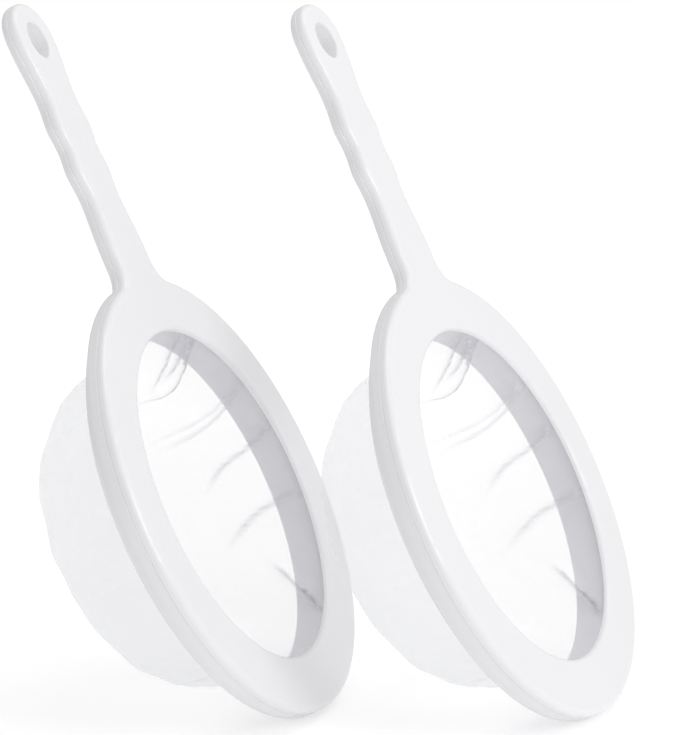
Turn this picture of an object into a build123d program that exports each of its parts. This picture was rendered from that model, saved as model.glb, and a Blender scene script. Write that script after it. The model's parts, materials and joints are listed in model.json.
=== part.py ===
"""A set of two fine-mesh hand strainers, each a two-shell plastic ring and handle that clamps a mesh bag.

Every piece is first made in the strainer's own frame: the origin is the centre of the ring on its top face,
+Z points out of the mouth and +Y runs along the handle. The two strainers are then stood on a table,
leaning back on the edge of the ring, in the set's frame: +Z up, origin under the middle of the set.
"""
import os
from math import cos, radians, sin, sqrt

from build123d import *

# ---------------------------------------------------------------- driving dimensions (millimetres, degrees)
rim_radius = 78.5           # ring, outside, at the seam
mouth_radius = 59.2         # opening inside the top shell's lip
ring_height = 11.0          # both shells together, round the ring
handle_height = 7.0         # both shells together, along the handle
slope_start = 16.0          # the underside rises from here on the ring ...
slope_end = 58.0            # ... to here, where it meets the handle's underside
seam_depth = 3.3            # top face down to the seam
seam_chamfer = 0.25         # each shell's edge along the seam
wall = 2.0                  # shell wall
top_edge_radius = 2.0       # rounding of the top face's outer edge
ring_edge_radius = 5.0      # rounding of the ring's lower edge
handle_edge_radius = 3.0    # rounding of the handle's lower edge
lip_rounding = 1.6          # rounding of the mouth's edge
least_flat = 0.5            # kept flat between a rounding and the seam

handle_reach = 181.0        # ring centre to the tip of the handle
handle_half_width = 12.0
neck_fillet = 9.0           # where the handle runs into the ring
grip_pitch = 15.0           # from one finger hollow to the next
grip_hollows = 3
grip_depth = 1.2
grip_gap = 25.3             # last finger hollow to the centre of the eyelet
eyelet_radius = 13.2        # round end of the handle
hole_radius = 6.5           # hanging hole
hole_offset = 0.8           # from the centre of the eyelet back towards the ring
hole_rounding = 0.8
hole_wall = 2.4             # plastic left round the hole inside the hollow handle

lip_overhang = 0.15         # lip's rounding ends this far inside the bag
collar_gap = 0.15           # mesh to collar
mesh_thickness = 0.5
mesh_fit = 0.05             # mesh to the plastic above and below it
collar_depth = 14.5         # top face down to the collar's lower edge
bag_depth = 61.1            # top face down to the bottom of the bag
belly_side = 0.92           # the belly's curve: its radius beside the collar ...
belly_drop = 0.6            # ... this share of the way down ...
belly_floor = 0.77          # ... and its radius at the bottom, as shares of the bag's radius

hoop_radius = 1.0           # section of the hoop
hem_fit = 0.15              # hoop to hem band
hem_drop = 0.15             # hem band below the mesh that the shells clamp
hem_thickness = 0.55
groove_fit = 0.35           # hem band to the sides of its groove
rib_thickness = 1.5
edge_flat = 0.4             # kept flat between the two roundings of the collar's lower edge

tongue_gap = 0.3            # top of the lower shell's tongue to the upper shell's ceiling
tongue_thickness = 1.5
shell_fit = 0.1             # between the shells wherever one enters the other
pin_radius = 1.5
pin_length = 2.6            # from the top shell's ceiling
ring_pin_radius = 1.1
ring_pin_count = 8
socket_wall = 1.2
handle_pin_count = 3
pin_inset = 13.5            # ring's edge to the first pin in the handle
pin_hole_gap = 20.0         # last pin to the centre of the hanging hole

lean_angle = 25.25          # handle leaning back from upright
front_offset = (28.4, -90.3)    # front ring centre from the rear one, on the table
front_yaw = -6.5

same_size = 0.01            # radii closer than this are taken as equal

# ---------------------------------------------------------------- sizes that follow from them
mesh_top = -wall - mesh_fit
collar_top = mesh_top - mesh_thickness - mesh_fit
bag_radius = mouth_radius + lip_rounding + lip_overhang     # outside of the bag, inside the collar
collar_inner = bag_radius + collar_gap
collar_outer = collar_inner + wall
hem_radius = hoop_radius + hem_fit + hem_thickness
hem_circle = collar_outer + groove_fit + hem_radius
rib_inner = hem_circle + hem_radius + groove_fit
rib_outer = rib_inner + rib_thickness
hem_height = collar_top - hem_drop - hem_radius
groove_floor = hem_height - hem_radius - mesh_fit
ring_floor = -ring_height + wall
handle_floor = -handle_height + wall
shell_inner = rim_radius - wall
ring_rounding = min(ring_edge_radius, ring_height - seam_depth - least_flat)
handle_rounding = min(handle_edge_radius, handle_height - seam_depth - least_flat)
channel_rounding = max(ring_rounding - wall - tongue_thickness, least_flat)
tongue_height = seam_depth - wall - tongue_gap
tongue_outer = shell_inner - shell_fit
tongue_inner = tongue_outer - tongue_thickness
eyelet_centre = handle_reach - eyelet_radius
hole_centre = eyelet_centre - hole_offset
slope = (ring_height - handle_height) / (slope_end - slope_start)
cavity_half_width = handle_half_width - grip_depth - wall
eyelet_cavity_radius = eyelet_radius - wall
grip_start = eyelet_centre - grip_gap - (grip_hollows - 1) * grip_pitch
first_pin = rim_radius + pin_inset
pin_step = (hole_centre - pin_hole_gap - first_pin) / (handle_pin_count - 1)
ring_pin_circle = (rib_outer + tongue_inner) / 2
neck_height = sqrt(rim_radius**2 - handle_half_width**2)


# ---------------------------------------------------------------- plan of ring and handle
def handle_edge():
    """Points up one side of the handle: straight neck, finger hollows with crests between, and the eyelet."""
    points = [(handle_half_width, rim_radius - 2 * neck_fillet), (handle_half_width, grip_start - grip_pitch)]
    for hollow in range(grip_hollows):
        place = grip_start + hollow * grip_pitch
        points.append((handle_half_width - grip_depth, place))
        if hollow < grip_hollows - 1:
            points.append((handle_half_width, place + grip_pitch / 2))
    points.append((eyelet_radius, eyelet_centre))
    return points


with BuildSketch() as plan:
    with BuildLine() as handle_line:
        edge = Spline(*handle_edge(), tangents=((0, 1), (0, 1)))
        ThreePointArc(edge @ 1, (0, handle_reach), (-eyelet_radius, eyelet_centre))
        Line(edge @ 0, (0, (edge @ 0).Y))
        mirror(objects=[handle_line.edges()[0], handle_line.edges()[2]], about=Plane.YZ)
    make_face()
    Circle(rim_radius)
    neck_corners = plan.vertices().filter_by_position(Axis.Y, neck_height - wall, neck_height + wall)
    fillet(neck_corners, neck_fillet)

with BuildSketch() as handle_cavity:
    with Locations((0, (shell_inner - wall + eyelet_centre) / 2)):
        Rectangle(2 * cavity_half_width, eyelet_centre - shell_inner + wall)
    with Locations((0, eyelet_centre)):
        Circle(eyelet_cavity_radius)
    with Locations((0, hole_centre)):
        Circle(hole_radius + hole_wall, mode=Mode.SUBTRACT)

ring_pins = PolarLocations(ring_pin_circle, ring_pin_count, start_angle=90 + 180 / ring_pin_count)
handle_pins = Locations(*[(0, first_pin + pin * pin_step) for pin in range(handle_pin_count)])


def underside(lift):
    """Side view of what lies below the frame's underside, raised by lift: level, then up to the handle."""
    far = 2 * handle_reach
    with BuildSketch(Plane.YZ.offset(-far / 2)) as below:
        with BuildLine():
            Polyline((slope_start, -ring_height + lift), (slope_end, -handle_height + lift),
                     (far, -handle_height + lift), (far, -2 * ring_height), (slope_start, -2 * ring_height),
                     close=True)
        make_face()
    return extrude(below.sketch, amount=far, mode=Mode.PRIVATE)


# ---------------------------------------------------------------- top_frame
with BuildPart() as top_frame:
    with BuildSketch(Plane.XY.offset(-seam_depth)):
        add(plan.sketch)
    extrude(amount=seam_depth)
    fillet(top_frame.faces().sort_by(Axis.Z)[-1].outer_wire().edges(), top_edge_radius)
    chamfer(top_frame.faces().sort_by(Axis.Z)[0].outer_wire().edges(), seam_chamfer)
    # the mouth and its rounded lip, and the hanging hole
    with BuildSketch():
        Circle(mouth_radius)
        with Locations((0, hole_centre)):
            Circle(hole_radius)
    extrude(amount=-seam_depth, mode=Mode.SUBTRACT)
    top_circles = top_frame.edges().filter_by(GeomType.CIRCLE).group_by(Axis.Z)[-1].sort_by(SortBy.RADIUS)
    hole_edge = top_circles.filter_by(lambda e: abs(e.radius - hole_radius) < same_size)
    mouth_edge = top_circles.filter_by(lambda e: abs(e.radius - mouth_radius) < same_size)
    fillet(hole_edge, hole_rounding)
    fillet(mouth_edge, lip_rounding)
    # hollow of the ring and of the handle
    with BuildSketch(Plane.XY.offset(-seam_depth)):
        Circle(shell_inner)
        add(handle_cavity.sketch)
    extrude(amount=seam_depth - wall, mode=Mode.SUBTRACT)
    # pins that enter the lower shell's sockets
    with BuildSketch(Plane.XY.offset(-wall)):
        with handle_pins:
            Circle(pin_radius)
        with ring_pins:
            Circle(ring_pin_radius)
    extrude(amount=-pin_length)
top_frame.part.label = "top_frame"

# ---------------------------------------------------------------- bottom_frame
with BuildPart() as channel:
    # hollow of the ring, rounded below, over a floor that follows the underside
    with BuildSketch(Plane.XZ):
        with BuildLine():
            Polyline((tongue_inner, ring_floor + channel_rounding), (tongue_inner, 0), (0, 0),
                     (0, ring_floor), (tongue_inner - channel_rounding, ring_floor))
            RadiusArc((tongue_inner - channel_rounding, ring_floor),
                      (tongue_inner, ring_floor + channel_rounding), -channel_rounding)
        make_face()
    revolve(axis=Axis.Z)
    add(underside(wall), mode=Mode.SUBTRACT)

with BuildPart() as bottom_frame:
    with BuildSketch(Plane.XY.offset(-handle_height)):
        add(plan.sketch)
    extrude(amount=handle_height - seam_depth)
    fillet(bottom_frame.faces().sort_by(Axis.Z)[0].outer_wire().edges(), handle_rounding)
    # the deep part of the ring
    with BuildSketch(Plane.XZ):
        with BuildLine():
            Polyline((rim_radius, -ring_height + ring_rounding), (rim_radius, -seam_depth), (0, -seam_depth),
                     (0, -ring_height), (rim_radius - ring_rounding, -ring_height))
            RadiusArc((rim_radius - ring_rounding, -ring_height),
                      (rim_radius, -ring_height + ring_rounding), -ring_rounding)
        make_face()
    revolve(axis=Axis.Z)
    chamfer(bottom_frame.faces().sort_by(Axis.Z)[-1].outer_wire().edges(), seam_chamfer)
    # tongue that enters the top shell
    with BuildSketch(Plane.XY.offset(-seam_depth)):
        Circle(tongue_outer)
        Circle(tongue_inner, mode=Mode.SUBTRACT)
    extrude(amount=tongue_height)
    add(channel.part, mode=Mode.SUBTRACT)
    with BuildSketch(Plane.XY.offset(handle_floor)):
        add(handle_cavity.sketch)
    extrude(amount=handle_height, mode=Mode.SUBTRACT)
    # weld rib, and the groove for the hem inside it
    with BuildSketch(Plane.XY.offset(-ring_height)):
        Circle(rib_outer)
    extrude(amount=ring_height - wall - shell_fit)
    with BuildSketch(Plane.XY.offset(groove_floor)):
        Circle(rib_inner)
    extrude(amount=ring_height, mode=Mode.SUBTRACT)
    # sockets for the top shell's pins
    with BuildSketch(Plane.XY.offset(ring_floor)):
        with handle_pins:
            Circle(pin_radius + shell_fit + socket_wall)
            Circle(pin_radius + shell_fit, mode=Mode.SUBTRACT)
        with ring_pins:
            Circle(ring_pin_radius + shell_fit + socket_wall)
            Circle(ring_pin_radius + shell_fit, mode=Mode.SUBTRACT)
    extrude(amount=-ring_floor - seam_depth)
    # the underside, level round the ring and rising to the handle
    add(underside(0), mode=Mode.SUBTRACT)
    # the collar that the bag hangs in
    with BuildSketch(Plane.XZ):
        with Locations(((collar_inner + collar_outer) / 2, (collar_top - collar_depth) / 2)):
            Rectangle(wall, collar_top + collar_depth)
    revolve(axis=Axis.Z)
    with BuildSketch(Plane.XY.offset(-collar_depth)):
        Circle(collar_inner)
    extrude(amount=collar_depth, mode=Mode.SUBTRACT)
    fillet(bottom_frame.edges().group_by(Axis.Z)[0], (wall - edge_flat) / 2)
    # hanging hole
    with BuildSketch(Plane.XY.offset(-handle_height)):
        with Locations((0, hole_centre)):
            Circle(hole_radius)
    extrude(amount=handle_height, mode=Mode.SUBTRACT)
    hole_circles = bottom_frame.edges().filter_by(lambda e: e.geom_type == GeomType.CIRCLE
                                                  and abs(e.radius - hole_radius) < same_size)
    fillet(hole_circles.sort_by(Axis.Z)[0], hole_rounding)
bottom_frame.part.label = "bottom_frame"


# ---------------------------------------------------------------- mesh_bag
def bowl_section(radius, depth, top):
    """Half section of the bag as a solid: straight inside the collar, then one long curve to the bottom."""
    belly = depth - collar_depth
    with BuildSketch(Plane.XZ) as section:
        with BuildLine():
            wall_line = Line((radius, top), (radius, -collar_depth))
            Bezier(wall_line @ 1, (belly_side * radius, -collar_depth - belly_drop * belly),
                   (belly_floor * radius, -depth), (0, -depth))
            Polyline((0, -depth), (0, top), (radius, top))
        make_face()
    return section.sketch


with BuildPart() as mesh_bag:
    add(bowl_section(bag_radius, bag_depth, mesh_top))
    revolve(axis=Axis.Z)
    with BuildSketch(Plane.XY.offset(mesh_top - mesh_thickness)):
        Circle(hem_circle)
    extrude(amount=mesh_thickness)
    add(bowl_section(bag_radius - mesh_thickness, bag_depth - mesh_thickness, 0))
    revolve(axis=Axis.Z, mode=Mode.SUBTRACT)
mesh_bag.part.label = "mesh_bag"

# ---------------------------------------------------------------- hem_band and hem_hoop
with BuildPart() as hem_band:
    with Locations((0, 0, hem_height)):
        Torus(hem_circle, hem_radius)
        Torus(hem_circle, hoop_radius + hem_fit, mode=Mode.SUBTRACT)
hem_band.part.label = "hem_band"

with BuildPart() as hem_hoop:
    with Locations((0, 0, hem_height)):
        Torus(hem_circle, hoop_radius)
hem_hoop.part.label = "hem_hoop"

# ---------------------------------------------------------------- the set on the table
strainer = [top_frame, bottom_frame, mesh_bag, hem_band, hem_hoop]


def mouth_plane(centre, yaw):
    """Plane of a ring's top face: the mouth looks towards -Y, turned by yaw about the vertical."""
    turn = radians(yaw)
    lean = radians(lean_angle)
    side = (cos(turn), sin(turn), 0)
    out = (sin(turn) * cos(lean), -cos(turn) * cos(lean), sin(lean))
    return Plane(origin=centre, x_dir=side, z_dir=out)


def placed(piece, plane):
    """One piece of a strainer, moved to that strainer's mouth plane."""
    with BuildPart() as result:
        with Locations(plane.location):
            add(piece.part)
    return result


trial = [placed(piece, mouth_plane((*centre, 0), yaw)).part.bounding_box()
         for piece in strainer for centre, yaw in (((0, 0), 0), (front_offset, front_yaw))]
middle_x = (min(box.min.X for box in trial) + max(box.max.X for box in trial)) / 2
middle_y = (min(box.min.Y for box in trial) + max(box.max.Y for box in trial)) / 2
mouth_height = -min(box.min.Z for box in trial)

rear_mouth = mouth_plane((-middle_x, -middle_y, mouth_height), 0)
front_mouth = mouth_plane((front_offset[0] - middle_x, front_offset[1] - middle_y, mouth_height), front_yaw)

os.makedirs("parts", exist_ok=True)
for side, plane in (("rear", rear_mouth), ("front", front_mouth)):
    print(side, "ring centre", [round(value, 3) for value in plane.origin], "mouth", plane.z_dir)
    print(side, "hole centre", plane.from_local_coords((0, hole_centre, -handle_height / 2)))
    for piece in strainer:
        node = placed(piece, plane)
        node.part.label = f"{side}_{piece.part.label}"
        export_step(node.part, f"parts/{node.part.label}.step")
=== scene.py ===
# %% [markdown]
# # A pair of fine-mesh hand strainers
#
# Each strainer is a flat white ring with a finger-grip handle, moulded as two shells that are welded along
# a seam. Between the shells hangs a bag of sheer nylon mesh. The shells, the hem and its hoop already have
# their exact shape, so here they only get their finish. The bag is a sheet of cloth, and it is made as one.

# %% Load the frame
import json
from math import pi

import bmesh
import bpy
import numpy as np
from mathutils import Matrix, Vector


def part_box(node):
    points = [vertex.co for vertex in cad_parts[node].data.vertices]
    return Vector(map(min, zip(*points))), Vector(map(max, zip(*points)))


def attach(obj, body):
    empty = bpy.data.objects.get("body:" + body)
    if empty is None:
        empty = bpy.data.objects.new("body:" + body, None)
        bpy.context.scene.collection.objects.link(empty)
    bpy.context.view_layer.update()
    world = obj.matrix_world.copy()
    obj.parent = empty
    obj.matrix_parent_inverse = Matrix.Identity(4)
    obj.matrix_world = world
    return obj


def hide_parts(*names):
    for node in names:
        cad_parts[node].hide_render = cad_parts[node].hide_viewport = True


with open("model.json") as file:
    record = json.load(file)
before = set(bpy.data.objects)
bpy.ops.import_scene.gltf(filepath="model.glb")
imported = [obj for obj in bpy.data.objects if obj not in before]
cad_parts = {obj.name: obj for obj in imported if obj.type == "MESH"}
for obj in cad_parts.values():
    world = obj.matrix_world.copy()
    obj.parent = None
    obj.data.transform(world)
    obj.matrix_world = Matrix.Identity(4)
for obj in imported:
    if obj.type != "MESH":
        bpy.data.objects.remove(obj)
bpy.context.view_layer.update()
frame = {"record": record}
mm = 0.001

# %% [markdown]
# ## Where each mouth is
#
# A bag is easiest to shape in its own strainer's axes: x across the ring, y up the handle and z out of the
# mouth, with the origin in the middle of the ring's top face. The hanging hole and the hoop say where that
# is: the hoop lies round the mouth's middle, and the hole's axis is square to the ring.

# %% Axes of each strainer
sides = ("rear", "front")
hoop_depth = 4.45 * mm      # top face down to the middle of the hoop
mounts = {mount["name"]: mount for mount in frame["record"]["mounts"]}


def mouth_axes(side):
    """The matrix that takes a strainer's own axes to the set's."""
    low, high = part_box(f"{side}_hem_hoop")
    hoop = (Vector(low) + Vector(high)) / 2
    hole = mounts[f"{side}_hanging_hole"]
    out = Vector(hole["axis"]).normalized()
    up = Vector(hole["pos_m"]) - hoop
    up = (up - out * up.dot(out)).normalized()
    turn = Matrix((up.cross(out), up, out)).transposed().to_4x4()
    return Matrix.Translation(hoop + out * hoop_depth) @ turn


axes = {side: mouth_axes(side) for side in sides}
for side in sides:
    print(side, "mouth at", [round(value / mm, 1) for value in axes[side].translation], "mm")

# %% [markdown]
# ## Camera
#
# A long lens from a low, three-quarter angle shows the open mouths, the full handles and the bags behind
# them. A shorter lens from close by would make the front ring look much larger than the rear one.

# %% Camera
scene = bpy.context.scene
camera = bpy.data.objects.new("camera", bpy.data.cameras.new("camera"))
scene.collection.objects.link(camera)
camera.location = (-0.792, -0.276, 0.2158)
looking = Vector((0.9414, 0.3155, -0.1194))
camera.rotation_euler = looking.to_track_quat("-Z", "Y").to_euler()
camera.data.lens = 122.4
camera.data.clip_start = 0.05
scene.camera = camera
print("camera", round(camera.location.length, 2), "m from the set,", round(camera.data.lens, 1), "mm lens")

# %% [markdown]
# ## Two effects that several finishes share
#
# *Moulded grain* is the faint unevenness of a moulded surface: it tilts the normal a little and varies the
# shine. *Weave* draws over-and-under threads from a flat map of the cloth, and says how much thread there is
# at each point, so a sheer cloth can let light through between its threads.
#
# Both could be pictures wrapped on the pieces. Worked out from coordinates, they need no file and stay sharp
# at any distance, and as node groups they are built once and used with different values.

# %% Shader helpers
def new_group(name, inputs, outputs):
    """An empty node group with float inputs {name: default} and outputs {name: socket type}."""
    group = bpy.data.node_groups.new(name, "ShaderNodeTree")
    for label, (kind, default) in inputs.items():
        socket = group.interface.new_socket(label, in_out="INPUT", socket_type=kind)
        if default is not None:
            socket.default_value = default
    for label, kind in outputs.items():
        group.interface.new_socket(label, in_out="OUTPUT", socket_type=kind)
    return group, group.nodes.new("NodeGroupInput"), group.nodes.new("NodeGroupOutput")


def node(tree, kind, settings=None, **inputs):
    """Add a node, set its properties, and link or set its inputs by name or number."""
    made = tree.nodes.new(kind)
    for key, value in (settings or {}).items():
        setattr(made, key, value)
    for key, value in inputs.items():
        numbered = key[0] == "i" and key[1:].isdigit()
        socket = made.inputs[int(key[1:]) if numbered else key.replace("_", " ")]
        if isinstance(value, bpy.types.NodeSocket):
            tree.links.new(value, socket)
        else:
            socket.default_value = value
    return made


# %% Moulded grain
bump_height = 0.1 * mm          # how high a bump of full depth stands, in the grain and in the weave
patches_per_metre = 38.0        # broad patches of slightly different shine and shade
grain, entry, leave = new_group(
    "moulded_grain",
    {"Vector": ("NodeSocketVector", None), "Grain Size": ("NodeSocketFloat", 0.001),
     "Depth": ("NodeSocketFloat", 0.1), "Gloss": ("NodeSocketFloat", 0.25),
     "Tint": ("NodeSocketColor", (1, 1, 1, 1))},
    {"Color": "NodeSocketColor", "Roughness": "NodeSocketFloat", "Normal": "NodeSocketVector"})
per_metre = node(grain, "ShaderNodeMath", {"operation": "DIVIDE"}, i0=1.0, i1=entry.outputs["Grain Size"])
fine = node(grain, "ShaderNodeTexNoise", Vector=entry.outputs["Vector"], Scale=per_metre.outputs[0],
            Detail=3.0)
broad = node(grain, "ShaderNodeTexNoise", Vector=entry.outputs["Vector"], Scale=patches_per_metre,
             Detail=2.0)
shine = node(grain, "ShaderNodeMapRange", Value=broad.outputs[0], To_Min=-0.05, To_Max=0.07)
rough = node(grain, "ShaderNodeMath", {"operation": "ADD"}, i0=entry.outputs["Gloss"], i1=shine.outputs[0])
bump = node(grain, "ShaderNodeBump", Strength=entry.outputs["Depth"], Distance=bump_height,
            Height=fine.outputs[0])
shade = node(grain, "ShaderNodeMapRange", Value=broad.outputs[0], To_Min=0.975, To_Max=1.0)
tint = node(grain, "ShaderNodeVectorMath", {"operation": "SCALE"}, i0=entry.outputs["Tint"],
            Scale=shade.outputs[0])
grain.links.new(tint.outputs[0], leave.inputs["Color"])
grain.links.new(rough.outputs[0], leave.inputs["Roughness"])
grain.links.new(bump.outputs[0], leave.inputs["Normal"])
print("moulded grain:", len(grain.nodes), "nodes")

# %% Weave
weave, entry, leave = new_group(
    "weave",
    {"Flat Map": ("NodeSocketVector", None), "Thread Pitch": ("NodeSocketFloat", 0.0004),
     "Depth": ("NodeSocketFloat", 0.3)},
    {"Thread": "NodeSocketFloat", "Normal": "NodeSocketVector"})
threads = node(weave, "ShaderNodeMath", {"operation": "DIVIDE"}, i0=pi, i1=entry.outputs["Thread Pitch"])
scaled = node(weave, "ShaderNodeVectorMath", {"operation": "SCALE"}, i0=entry.outputs["Flat Map"],
              Scale=threads.outputs[0])
split = node(weave, "ShaderNodeSeparateXYZ", i0=scaled.outputs[0])
waves = [node(weave, "ShaderNodeMath", {"operation": "SINE"}, i0=split.outputs[axis]) for axis in (0, 1)]
ridges = [node(weave, "ShaderNodeMath", {"operation": "ABSOLUTE"}, i0=wave.outputs[0]) for wave in waves]
cover = node(weave, "ShaderNodeMath", {"operation": "MAXIMUM"}, i0=ridges[0].outputs[0],
             i1=ridges[1].outputs[0])
crossing = node(weave, "ShaderNodeMath", {"operation": "MULTIPLY"}, i0=waves[0].outputs[0],
                i1=waves[1].outputs[0])
height = node(weave, "ShaderNodeMath", {"operation": "ADD"}, i0=cover.outputs[0], i1=crossing.outputs[0])
bump = node(weave, "ShaderNodeBump", Strength=entry.outputs["Depth"], Distance=bump_height,
            Height=height.outputs[0])
weave.links.new(cover.outputs[0], leave.inputs["Thread"])
weave.links.new(bump.outputs[0], leave.inputs["Normal"])
print("weave:", len(weave.nodes), "nodes")

# %% [markdown]
# ## Finishes
#
# The shells are white polypropylene: glossy and a little cool. The mesh is so fine that it reads as a milky
# film: part of it is open, and its threads pass on some of the light that falls on their far side. Where a
# pleat lays the mesh double, it is denser, and its colour is darkened there as painted shade in the crease.
# The hem tape is a coarser weave and the hoop is a plain rod.
# Modelled thread by thread, each bag would need millions of faces. One sheet that is partly clear looks the
# same from where anyone stands, and its weave still shows up close.

# %% White plastic
def start_material(name):
    """A material with its node tree, its shader, and the texture coordinates that its patterns follow."""
    material = bpy.data.materials.new(name)
    material.use_nodes = True
    tree = material.node_tree
    return material, tree, tree.nodes["Principled BSDF"], tree.nodes.new("ShaderNodeTexCoord")


def moulded(name, tint, gloss, grain_size, depth):
    """A plastic with moulded grain."""
    material, tree, shader, place = start_material(name)
    skin = node(tree, "ShaderNodeGroup", {"node_tree": grain}, Vector=place.outputs["Object"],
                Grain_Size=grain_size, Depth=depth, Gloss=gloss, Tint=(*tint, 1))
    for label in ("Roughness", "Normal"):
        tree.links.new(skin.outputs[label], shader.inputs[label])
    tree.links.new(skin.outputs["Color"], shader.inputs["Base Color"])
    shader.inputs["IOR"].default_value = 1.49
    return material


upper_plastic = moulded("white_plastic_upper", (0.90, 0.90, 0.915), 0.16, 0.9 * mm, 0.05)
# The lower shell is the same plastic, tinted a little darker than the upper one: painted shade for its band
# that faces down, away from the light.
lower_plastic = moulded("white_plastic_lower", (0.88, 0.88, 0.90), 0.20, 0.9 * mm, 0.06)
hoop_plastic = moulded("hoop_plastic", (0.80, 0.80, 0.82), 0.42, 0.5 * mm, 0.10)


# %% Hem tape
hem_tape, tree, shader, place = start_material("hem_tape")
tape = node(tree, "ShaderNodeGroup", {"node_tree": weave}, Flat_Map=place.outputs["Object"],
            Thread_Pitch=0.9 * mm, Depth=0.5)
tree.links.new(tape.outputs["Normal"], shader.inputs["Normal"])
shader.inputs["Base Color"].default_value = (0.86, 0.86, 0.88, 1)
shader.inputs["Roughness"].default_value = 0.7

# %% Nylon mesh
sheer_at_gap, sheer_at_thread = 0.10, 0.42      # how much of the cloth shows, between and on its threads
denser_when_doubled = 0.50
passed_on = 0.35                                # the share of light on a thread that goes through it
nylon_mesh, tree, shader, place = start_material("nylon_mesh")
cloth = node(tree, "ShaderNodeGroup", {"node_tree": weave}, Flat_Map=place.outputs["UV"],
             Thread_Pitch=0.35 * mm, Depth=0.15)
doubled_and_crease_shade = node(tree, "ShaderNodeAttribute", {"attribute_name": "doubled_and_crease_shade"})
sheer = node(tree, "ShaderNodeMapRange", Value=cloth.outputs["Thread"], From_Min=0.0, From_Max=1.0,
             To_Min=sheer_at_gap, To_Max=sheer_at_thread)
denser = node(tree, "ShaderNodeMath", {"operation": "MULTIPLY_ADD"}, i0=doubled_and_crease_shade.outputs["Fac"],
              i1=denser_when_doubled, i2=sheer.outputs[0])
# Where the cloth lies double its colour is also darkened to a grey: painted shade in the crease. Only the
# greater density there is real.
tint = node(tree, "ShaderNodeMix", {"data_type": "RGBA"}, i0=doubled_and_crease_shade.outputs["Fac"],
            i6=(0.93, 0.93, 0.955, 1), i7=(0.72, 0.73, 0.78, 1))
tree.links.new(tint.outputs[2], shader.inputs["Base Color"])
tree.links.new(cloth.outputs["Normal"], shader.inputs["Normal"])
shader.inputs["Roughness"].default_value = 0.38
passed = node(tree, "ShaderNodeBsdfTranslucent", Color=tint.outputs[2], Normal=cloth.outputs["Normal"])
thread = node(tree, "ShaderNodeMixShader", i0=passed_on, i1=shader.outputs[0], i2=passed.outputs[0])
gap = node(tree, "ShaderNodeBsdfTransparent")
film = node(tree, "ShaderNodeMixShader", i0=denser.outputs[0], i1=gap.outputs[0], i2=thread.outputs[0])
tree.links.new(film.outputs[0], tree.nodes["Material Output"].inputs["Surface"])

# %% Give the shells, the hem and the hoop their finish
finishes = {"top_frame": upper_plastic, "bottom_frame": lower_plastic, "hem_band": hem_tape,
            "hem_hoop": hoop_plastic}
for side in sides:
    for piece, material in finishes.items():
        shape = bpy.data.objects[f"{side}_{piece}"]
        shape.data.materials.clear()
        shape.data.materials.append(material)
    print(side, "finishes:", ", ".join(material.name for material in finishes.values()))

# %% [markdown]
# ## The mesh bag
#
# The real bag is one round of mesh, gathered between the shells. It runs down inside the collar, then
# narrows to a rounded bottom, with pleats that start at the clamp and fade as they go down.
#
# A globe of rings and slices would crowd its faces at the bottom and show a star in every highlight there. A
# cube that is divided and pushed out to a sphere has even faces and no pole, so half of one is a good sheet
# to start from: its open edge becomes the clamped rim and its crown the bottom of the bag.

# %% Size of the bag
collar_radius = 60.7 * mm       # the cloth inside the collar
clamp_radius = 65.0 * mm        # its edge, held between the shells
clamp_depth = 2.3 * mm          # top face down to the clamped cloth
collar_depth = 14.5 * mm
bag_depth = 60.6 * mm
belly = bag_depth - collar_depth
straight = collar_depth - clamp_depth
belly_side, belly_drop, belly_floor = 0.92, 0.6, 0.77      # shares of the radius and the depth

steps = np.linspace(0, 1, 400)[:, None]
corners = np.array([(collar_radius, -collar_depth),
                    (belly_side * collar_radius, -collar_depth - belly_drop * belly),
                    (belly_floor * collar_radius, -bag_depth), (0, -bag_depth)])
curve = sum(weight * corner for weight, corner in zip(
    ((1 - steps) ** 3, 3 * (1 - steps) ** 2 * steps, 3 * (1 - steps) * steps ** 2, steps ** 3), corners))
run = np.concatenate([[0], np.cumsum(np.hypot(*np.diff(curve, axis=0).T))]) + straight
cloth_reach = run[-1]           # clamp to the middle of the bottom, along the cloth
cut_radius = cloth_reach + clamp_radius - collar_radius
print(f"cloth reach {cloth_reach / mm:.1f} mm, cut across {2 * cut_radius / mm:.0f} mm")


def profile(down):
    """Radius, height and the two parts of the outward normal at a distance down the cloth from the clamp."""
    radius = np.where(down < straight, collar_radius, np.interp(down, run, curve[:, 0]))
    level = np.where(down < straight, -clamp_depth - down, np.interp(down, run, curve[:, 1]))
    slope = np.gradient(curve, axis=0)
    slope /= np.linalg.norm(slope, axis=1)[:, None]
    outward = np.where(down < straight, 1.0, np.interp(down, run, -slope[:, 1]))
    lifted = np.where(down < straight, 0.0, np.interp(down, run, slope[:, 0]))
    return radius, level, outward, lifted


# %% [markdown]
# ### Pleats
#
# Each pleat is a short line on the cloth: an angle round the ring from the handle, in degrees, and a
# distance down from the clamp, in millimetres. The cloth stands inwards along it, steeply on one side and
# gently on the other, and the pleat fades towards its lower end. Between the pleats the cloth is only
# crumpled a little, and its lower side sags under its own weight.
#
# A cloth simulation would fold the mesh too, but each time in places of its own. Drawn lines put every pleat
# where it belongs, and one can be moved by changing a number.

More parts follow.
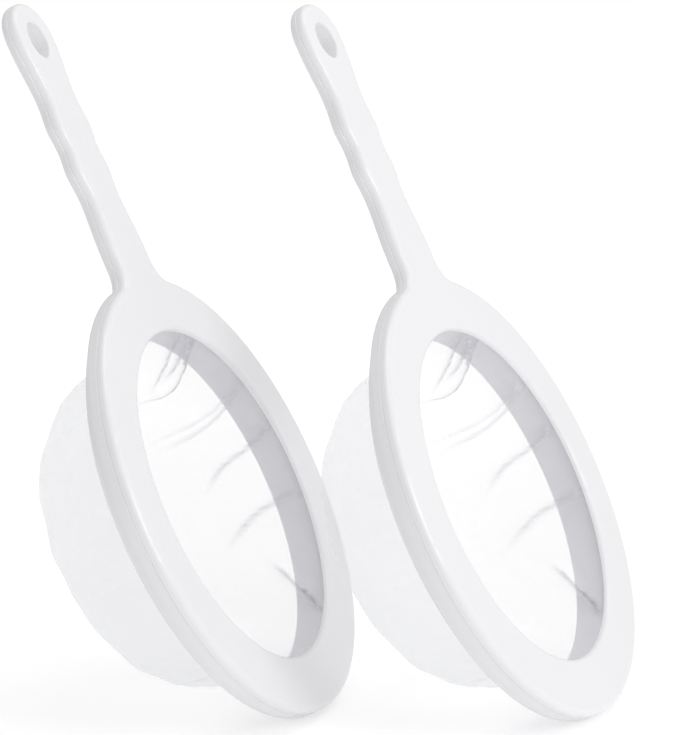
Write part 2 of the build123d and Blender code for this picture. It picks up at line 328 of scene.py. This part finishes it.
# %% Lines of the pleats
pleats = [  # points (angle, down), height, half width, all but the angle in millimetres
    ([(17, 3), (30, 16), (41, 32)], 1.7, 0.55),
    ([(21, 2), (32, 12), (39, 25)], 1.4, 0.50),
    ([(26, 2), (36, 12), (43, 21), (42, 28), (37, 39)], 2.6, 0.60),
    ([(53, 1), (58, 11), (59, 20), (59, 30), (55, 52)], 3.4, 0.95),
    ([(55, 1), (61, 11), (63, 20), (64, 30), (62, 46)], 2.2, 0.70),
    ([(74, 2), (78, 12), (79, 22), (82, 27), (90, 37)], 2.8, 0.65),
    ([(99, 2), (99, 12), (101, 20), (104, 27), (111, 38)], 2.8, 0.65),
    ([(146, 1), (131, 11), (125, 15), (115, 22)], 2.6, 0.60),
    ([(170, 1), (168, 12), (172, 26)], 1.6, 1.8),
    ([(200, 1), (204, 14), (203, 30), (198, 40)], 1.8, 2.0),
    ([(228, 1), (223, 12), (226, 24)], 1.6, 1.6),
    ([(251, 1), (256, 12), (257, 28), (252, 42)], 1.8, 2.0),
    ([(282, 1), (279, 12), (283, 27)], 1.6, 1.6),
    ([(309, 1), (313, 13), (316, 28), (312, 38)], 1.8, 1.8),
    ([(338, 1), (334, 12), (331, 24)], 1.5, 1.5),
]
steep, gentle = 0.8, 3.2        # how wide each side of a pleat is, in half widths
fade_from = 0.65                # share of a pleat's length that stands at full height
crest_round, crest_lift = 0.2, 0.45
press_from, press_width = 1.4, 0.8 * mm     # only a sharp pleat, of less half width than this, lies double
narrowest_turn = 30 * mm        # a pleat's angle isn't measured on a smaller radius than this
print(len(pleats), "pleats, the longest", max(line[-1][1] - line[0][1] for line, _, _ in pleats), "mm down")


def pleat_shape(angle, down, radius):
    """How far the cloth stands in from its smooth shape, in metres, and how far it lies double (which also
    sets its painted crease shade), 0 to 1.
    """
    stand = np.zeros_like(angle)
    double_and_crease_shade = np.zeros_like(angle)
    for line, height, half_width in pleats:
        spots = np.array(line, float)
        smooth = np.linspace(0, 1, 40)
        fit = np.polyfit(np.linspace(0, 1, len(spots)), spots, min(3, len(spots) - 1))
        trace = np.stack([np.polyval(fit[:, 0], smooth), np.polyval(fit[:, 1], smooth) * mm], axis=1)
        across = (np.degrees(angle)[:, None] - trace[None, :, 0] + 180) % 360 - 180
        across = np.radians(across) * np.maximum(radius, narrowest_turn)[:, None]
        along = down[:, None] - trace[None, :, 1]
        apart = np.hypot(across, along)
        nearest = apart.argmin(axis=1)
        pick = np.arange(len(angle))
        off = apart[pick, nearest] / (half_width * mm)
        off /= np.where(across[pick, nearest] > 0, steep, gentle)
        gone = np.clip((smooth[nearest] - fade_from) / (1 - fade_from), 0, 1)
        fade = 1 - gone ** 2 * (3 - 2 * gone)
        ridge = np.exp(crest_lift - np.sqrt(off ** 2 + crest_round))
        stand += height * mm * fade * ridge
        pressed = np.clip(press_from - half_width, 0, 1) * np.exp(-(apart[pick, nearest] / press_width) ** 2)
        double_and_crease_shade = np.maximum(double_and_crease_shade, fade * pressed)
    return stand, double_and_crease_shade


# %% [markdown]
# ### Shaping the sheet
#
# In edit mode the cube is divided, rounded to a sphere and cut at its middle. Each point of the half sphere
# then slides to its place on the bag's profile, and the open edge is extruded outwards as the part that the
# shells clamp. The pleats begin a little below the clamp, and the bag is loose only below the collar.

# %% Half sphere
def only(shape):
    """Select one object and make it active."""
    bpy.ops.object.select_all(action="DESELECT")
    shape.select_set(True)
    bpy.context.view_layer.objects.active = shape


divisions = 111
bpy.ops.object.select_all(action="DESELECT")
bpy.ops.mesh.primitive_cube_add(size=2)
bag = bpy.context.active_object
bag.name = "bag"
only(bag)
bpy.ops.object.mode_set(mode="EDIT")
bpy.ops.mesh.select_all(action="SELECT")
bpy.ops.mesh.subdivide(number_cuts=divisions)
bpy.ops.transform.tosphere(value=1)
bpy.ops.mesh.select_all(action="SELECT")
bpy.ops.mesh.bisect(plane_co=(0, 0, 0), plane_no=(0, 0, 1), clear_outer=True)
bpy.ops.object.mode_set(mode="OBJECT")
print("half sphere:", len(bag.data.vertices), "points")

# %% Slide the points to the bag's profile
points = np.array([vertex.co for vertex in bag.data.vertices])
points /= np.linalg.norm(points, axis=1)[:, None]
around = np.arctan2(points[:, 0], points[:, 1])
down = np.arcsin(np.clip(-points[:, 2], 0, 1)) / (pi / 2) * cloth_reach

sag = 2.4 * mm
clamp_band = 3 * mm             # over this much below the clamp, the pleats grow to their height
loose_band = 14 * mm            # over this much below the collar, the cloth comes free
radius, level, outward, lifted = profile(down)
stand, double_and_crease_shade = pleat_shape(around, down, radius)
near_clamp = np.clip(down / clamp_band, 0, 1)
loose = np.clip((down - collar_depth) / loose_band, 0, 1)
radius = radius - stand * near_clamp * outward
level = level - stand * near_clamp * lifted
droop = sag * loose * np.clip(-np.cos(around), 0, 1) * np.sin(pi * np.clip(down / cloth_reach, 0, 1))
shaped = np.stack([radius * np.sin(around), radius * np.cos(around) - droop, level], axis=1)
bag.data.vertices.foreach_set("co", shaped.ravel())
# This share of doubled cloth also darkens the mesh colour in its material: painted shade in the creases.
bag.data.attributes.new("doubled_and_crease_shade", "FLOAT", "POINT").data.foreach_set("value", double_and_crease_shade)
bag.data.update()
print("pleats stand up to", round(stand.max() / mm, 1), "mm inwards")

# %% Crumple the loose part
crumple_size, crumple_strength = 17 * mm, 2.6 * mm
crumple = bpy.data.textures.new("crumple", "CLOUDS")
crumple.noise_scale = crumple_size
crumple.noise_depth = 2
free = bag.vertex_groups.new(name="loose")
for index, share in enumerate(loose):
    if share > 0:
        free.add([index], float(share), "REPLACE")
push = bag.modifiers.new("crumple", "DISPLACE")
push.texture, push.vertex_group, push.strength, push.mid_level = crumple, "loose", crumple_strength, 0.5
only(bag)
bpy.ops.object.modifier_apply(modifier="crumple")
print("deepest point of the bag", round(min(vertex.co.z for vertex in bag.data.vertices) / mm, 1), "mm")

# %% Clamped edge
only(bag)
bpy.ops.object.mode_set(mode="EDIT")
sheet = bmesh.from_edit_mesh(bag.data)
for edge in sheet.edges:
    edge.select_set(edge.is_boundary)
sheet.select_flush_mode()
bmesh.update_edit_mesh(bag.data)
grow = clamp_radius / collar_radius
bpy.ops.mesh.extrude_edges_move()
bpy.ops.transform.resize(value=(grow, grow, 1), center_override=(0, 0, 0))
bpy.ops.mesh.select_all(action="SELECT")
bpy.ops.mesh.normals_make_consistent(inside=False)
bpy.ops.object.mode_set(mode="OBJECT")
print("bag:", len(bag.data.polygons), "faces, clamped edge", 2 * clamp_radius / mm, "mm across")

# %% Flat map of the cloth
flat_map = bag.data.uv_layers.new(name="flat_cut")
spots = np.array([vertex.co for vertex in bag.data.vertices])
turn = np.arctan2(spots[:, 0], spots[:, 1])
out = np.concatenate([cloth_reach - down, np.full(len(spots) - len(down), cut_radius)])
loops = np.zeros(len(bag.data.loops), int)
bag.data.loops.foreach_get("vertex_index", loops)
flat_map.data.foreach_set("uv", np.stack([out * np.sin(turn), out * np.cos(turn)], axis=1)[loops].ravel())
print("flat map", round(2 * out.max() / mm), "mm across")

# %% Finish the two bags
bpy.ops.object.shade_smooth()
bag.data.materials.append(nylon_mesh)
bags = {}
for side in sides:
    piece = bpy.data.objects.new(f"{side}_bag_cloth", bag.data.copy())
    scene.collection.objects.link(piece)
    piece.data.transform(axes[side])
    bags[side] = piece
bpy.data.objects.remove(bag)

for side in sides:
    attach(bags[side], f"{side}_strainer")
    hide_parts(f"{side}_mesh_bag")
    print(bags[side].name, "rides on", f"{side}_strainer")

# %% [markdown]
# ## Floor and light
#
# Seen directly, the floor and the surround are white, so only the soft shadows under the rings and bags
# show. As light, the surround is stronger in front of the mouths and above than behind, and one softbox in
# front draws the bright line along the rounded edge of each ring and handle.
#
# White pieces on white need that difference: an even light all round would leave them without any edges.

# %% Floor
floor_size = 12.0
near, far = 0.15, 0.7                       # metres from the set
lift_near, lift_far, lift_all = 0.13, 0.28, 0.24
bpy.ops.object.select_all(action="DESELECT")
bpy.ops.mesh.primitive_plane_add(size=floor_size)
floor = bpy.context.active_object
floor.name = "floor"
floor_paint, tree, shader, place = start_material("floor_paint")
path = node(tree, "ShaderNodeLightPath")
away = node(tree, "ShaderNodeVectorMath", {"operation": "LENGTH"}, i0=place.outputs["Object"])
paler = node(tree, "ShaderNodeMapRange", Value=away.outputs["Value"], From_Min=near, From_Max=far,
             To_Min=lift_near, To_Max=lift_far)
lift = node(tree, "ShaderNodeMath", {"operation": "MULTIPLY_ADD"}, i0=path.outputs["Is Camera Ray"],
            i1=paler.outputs[0], i2=lift_all)
tree.links.new(lift.outputs[0], shader.inputs["Emission Strength"])
shader.inputs["Base Color"].default_value = (0.8, 0.8, 0.8, 1)
shader.inputs["Roughness"].default_value = 1.0
shader.inputs["Specular IOR Level"].default_value = 0.0
shader.inputs["Emission Color"].default_value = (1, 1, 1, 1)
floor.data.materials.append(floor_paint)
print("floor", floor_size, "m across")

# %% Surround
light_behind, light_in_front = 0.46, 0.75
white_seen = 1.01
front = Vector((0.35, -0.50, 0.75)).normalized()
world = bpy.data.worlds.new("studio")
world.use_nodes = True
scene.world = world
tree = world.node_tree
background = tree.nodes["Background"]
background.inputs["Color"].default_value = (1, 1, 1, 1)
path = node(tree, "ShaderNodeLightPath")
place = node(tree, "ShaderNodeTexCoord")
facing = node(tree, "ShaderNodeVectorMath", {"operation": "DOT_PRODUCT"}, i0=place.outputs["Generated"],
              i1=front)
lit = node(tree, "ShaderNodeMapRange", Value=facing.outputs["Value"], From_Min=-1.0, From_Max=1.0,
           To_Min=light_behind, To_Max=light_in_front)
seen = node(tree, "ShaderNodeMix", {"data_type": "FLOAT"}, i0=path.outputs["Is Camera Ray"],
            i2=lit.outputs[0], i3=white_seen)
tree.links.new(seen.outputs[0], background.inputs["Strength"])
print("surround", light_behind, "behind to", light_in_front, "in front")


# %% Lamps
def soft_lamp(name, place, aim, size, watts):
    """A square softbox that faces a point."""
    lamp = bpy.data.objects.new(name, bpy.data.lights.new(name, "AREA"))
    scene.collection.objects.link(lamp)
    lamp.data.size = size
    lamp.data.energy = watts
    lamp.location = place
    lamp.rotation_euler = (Vector(aim) - Vector(place)).to_track_quat("-Z", "Y").to_euler()
    print(name, watts, "W")


middle = Vector((0, 0, 0.1))
soft_lamp("overhead", (0.1, -0.2, 1.3), middle, 0.8, 2.4)
soft_lamp("front_softbox", (-0.46, -1.10, 0.60), middle, 0.5, 3.2)

scene.view_settings.view_transform = "Standard"
scene.view_settings.look = "None"
